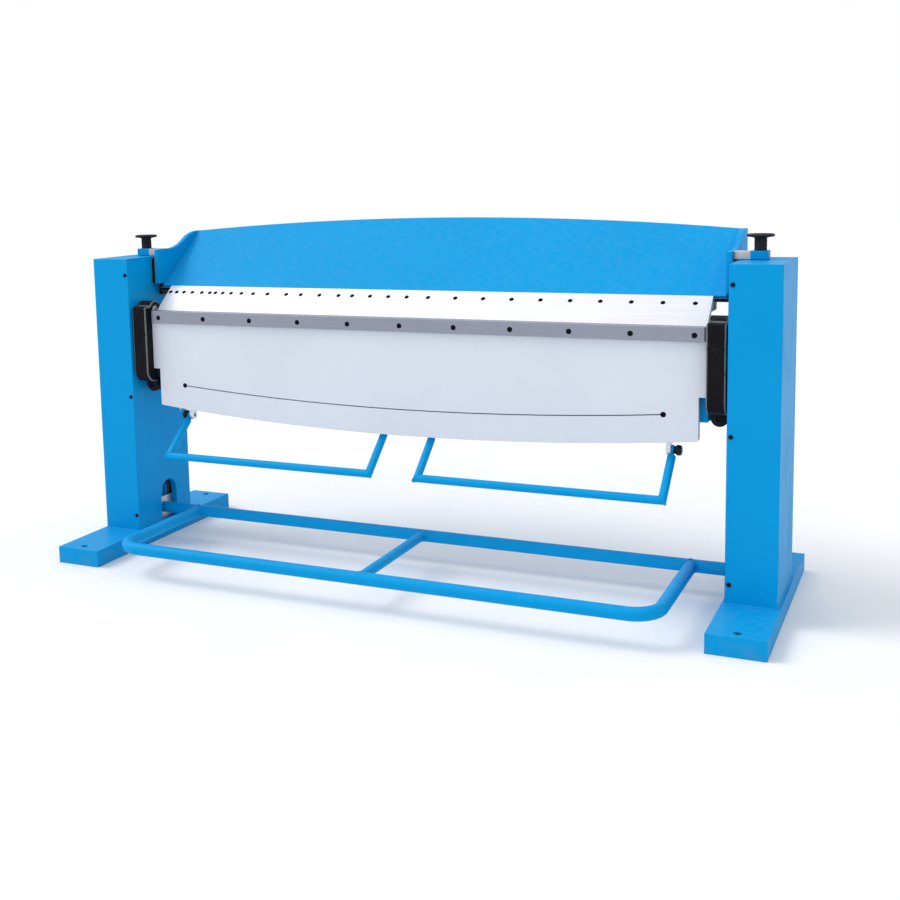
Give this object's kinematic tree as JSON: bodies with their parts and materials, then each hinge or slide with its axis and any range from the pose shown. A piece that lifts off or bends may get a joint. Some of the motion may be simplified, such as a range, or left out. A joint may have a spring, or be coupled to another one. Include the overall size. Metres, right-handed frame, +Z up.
{
  "type": "sheet metal folding machine",
  "caption": "Hand-operated swing-apron folding machine: segmented clamping beam, grip handles below the apron and a full-width foot pedal, between two box columns.",
  "frame": {"origin": "centre of the footprint, on the floor", "axes": "+X along the machine to the operator's right, +Y from the operator to the back, +Z up"},
  "size_m": [2.498, 0.9359, 1.2209],
  "materials": {
    "blue_paint": "semi-gloss powder coat",
    "grey_paint": "satin light grey paint",
    "ground_steel": "finely ground tool steel",
    "bar_steel": "ground steel",
    "black_iron": "black",
    "bare_steel": "machined",
    "dark_steel": "black oxide",
    "zinc_steel": "zinc plated",
    "black_plastic": "moulded",
    "rubber": "matt",
    "bronze": "machined bronze"
  },
  "bodies": {
    "root": {"beam_bolts": "dark_steel", "beam_end_blocks": "blue_paint", "column_cover_left": "blue_paint", "column_cover_right": "blue_paint", "cover_screws": "dark_steel", "feet": "blue_paint", "guide_rails": "dark_steel", "hinge_bushes": "bronze", "lower_beam": "blue_paint", "lower_blade": "ground_steel", "pedal_bearings": "bare_steel", "rest_buffers": "rubber", "rocker_pivots": "bare_steel", "side_plate_left": "blue_paint", "side_plate_right": "blue_paint", "strut_cylinders": "dark_steel"},
    "apron_beam": {"apron": "grey_paint", "bending_bar": "bar_steel", "bar_screws": "dark_steel", "apron_stiffener": "blue_paint", "hinge_arm_left": "black_iron", "hinge_arm_right": "black_iron", "hinge_pins": "bare_steel", "handle_brackets": "zinc_steel"},
    "handle_left": {"handle_left": "blue_paint"},
    "handle_right": {"handle_right": "blue_paint"},
    "clamp_knob_left": {"clamp_knob_left": "black_plastic"},
    "clamp_knob_right": {"clamp_knob_right": "black_plastic"},
    "upper_beam": {"beam_panel": "blue_paint", "tool_carrier": "dark_steel", "beam_back": "blue_paint", "beam_ribs": "blue_paint", "end_plate_left": "blue_paint", "end_plate_right": "blue_paint", "adjuster_lugs": "bare_steel", "adjuster_sleeves": "blue_paint", "slide_shoes": "dark_steel", "segment_screws": "dark_steel", "lift_pins": "bare_steel", "lift_bars": "bare_steel", "strut_rods": "bare_steel", "clamping_segment_01": "ground_steel", "clamping_segment_02": "ground_steel", "clamping_segment_03": "ground_steel", "clamping_segment_04": "ground_steel", "clamping_segment_05": "ground_steel", "clamping_segment_06": "ground_steel", "clamping_segment_07": "ground_steel", "clamping_segment_08": "ground_steel", "clamping_segment_09": "ground_steel", "clamping_segment_10": "ground_steel", "clamping_segment_11": "ground_steel", "clamping_segment_12": "ground_steel"},
    "handwheel_left": {"handwheel_left": "black_plastic"},
    "handwheel_right": {"handwheel_right": "black_plastic"},
    "pedal": {"pedal_frame": "blue_paint", "torsion_tube": "blue_paint", "pedal_levers": "blue_paint"},
    "rockers": {"rockers": "bare_steel"},
    "push_rods": {"push_rods": "bare_steel"}
  },
  "joints": [
    {"name": "apron_swing", "type": "hinge", "parent": "root", "child": "apron_beam", "pos_m": [0, -0.064, 0.899], "axis": [-1, 0, 0], "range_deg": [0, 135]},
    {"name": "handle_left_tilt", "type": "hinge", "parent": "apron_beam", "child": "handle_left", "pos_m": [-0.5, -0.03, 0.502], "axis": [-1, 0, 0], "range_deg": [-80, 0]},
    {"name": "handle_right_tilt", "type": "hinge", "parent": "apron_beam", "child": "handle_right", "pos_m": [0.5, -0.03, 0.502], "axis": [-1, 0, 0], "range_deg": [-80, 0]},
    {"name": "clamp_knob_left_turn", "type": "hinge", "parent": "apron_beam", "child": "clamp_knob_left", "pos_m": [-0.92, -0.03, 0.502], "axis": [1, 0, 0], "continuous": true},
    {"name": "clamp_knob_right_turn", "type": "hinge", "parent": "apron_beam", "child": "clamp_knob_right", "pos_m": [0.92, -0.03, 0.502], "axis": [1, 0, 0], "continuous": true},
    {"name": "beam_lift", "type": "slide", "parent": "root", "child": "upper_beam", "axis": [0, 0, 1], "range_m": [0, 0.06]},
    {"name": "handwheel_left_turn", "type": "hinge", "parent": "upper_beam", "child": "handwheel_left", "pos_m": [-1.1435, 0.071, 1.15], "axis": [0, 0, 1], "continuous": true},
    {"name": "handwheel_right_turn", "type": "hinge", "parent": "upper_beam", "child": "handwheel_right", "pos_m": [1.1435, 0.071, 1.15], "axis": [0, 0, 1], "continuous": true},
    {"name": "pedal_press", "type": "hinge", "parent": "root", "child": "pedal", "pos_m": [0, 0.06, 0.105], "axis": [1, 0, 0], "range_deg": [0, 9]},
    {"name": "rocker_turn", "type": "hinge", "parent": "root", "child": "rockers", "pos_m": [0, 0.16657, 0.48], "axis": [-1, 0, 0], "range_deg": [0, 27.33]},
    {"name": "push_rod_rise", "type": "slide", "parent": "root", "child": "push_rods", "axis": [0, 0, 1], "range_m": [0, 0.01255]}
  ],
  "couplings": [
    {"joint": "pedal_press", "follows": "beam_lift", "rad_per_m": 2.618},
    {"joint": "rocker_turn", "follows": "beam_lift", "rad_per_m": 7.9491},
    {"joint": "push_rod_rise", "follows": "beam_lift", "ratio": 0.20922}
  ]
}
